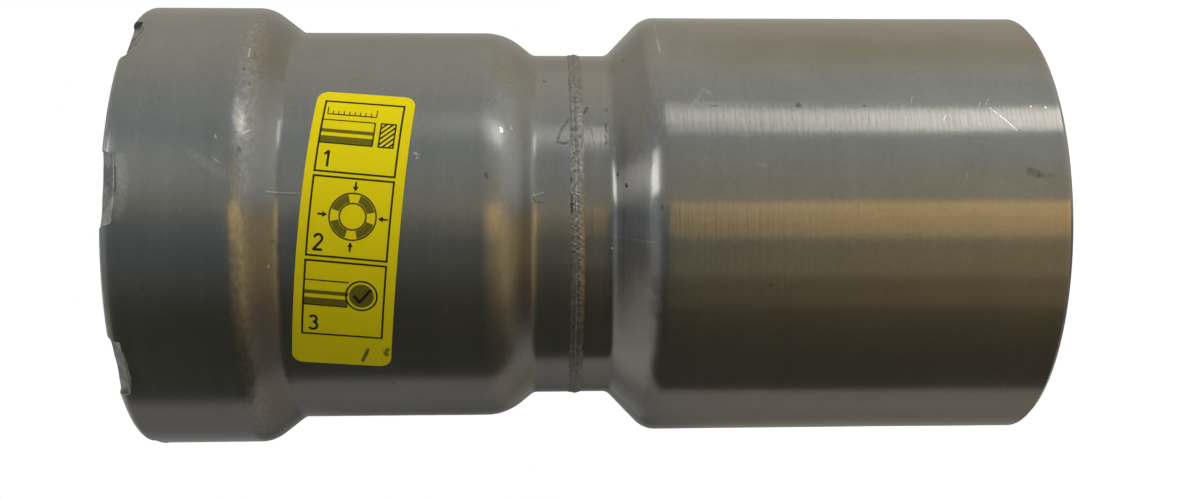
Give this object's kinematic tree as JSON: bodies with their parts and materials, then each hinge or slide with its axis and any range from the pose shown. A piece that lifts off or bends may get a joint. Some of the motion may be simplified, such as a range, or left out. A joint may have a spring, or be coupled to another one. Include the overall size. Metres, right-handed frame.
{
  "type": "press fitting reducer",
  "caption": "Steel reducer with a plain pipe end, a welded neck and a smaller press socket that holds a rubber seal, a separator ring and a toothed grip ring.",
  "frame": {"origin": "centre of the plain end's cut face, which the fitting stands on", "axes": "+Z along the fitting's axis from the plain end to the socket's mouth; -Y faces the middle of the label's side, near enough"},
  "size_m": [0.0628, 0.0628, 0.1244],
  "materials": {
    "coated_steel": "satin zinc-nickel coating with fine turning marks",
    "weld_metal": "rippled butt weld, coated",
    "seal_rubber": "smooth black rubber",
    "ring_steel": "hardened stainless steel",
    "label_film": "printed yellow film"
  },
  "bodies": {
    "root": {"spigot_body": "coated_steel", "socket_body": "coated_steel", "weld_bead": "weld_metal", "sealing_element": "seal_rubber", "separator_ring": "ring_steel", "grip_ring": "ring_steel", "instruction_label": "label_film"}
  },
  "joints": []
}
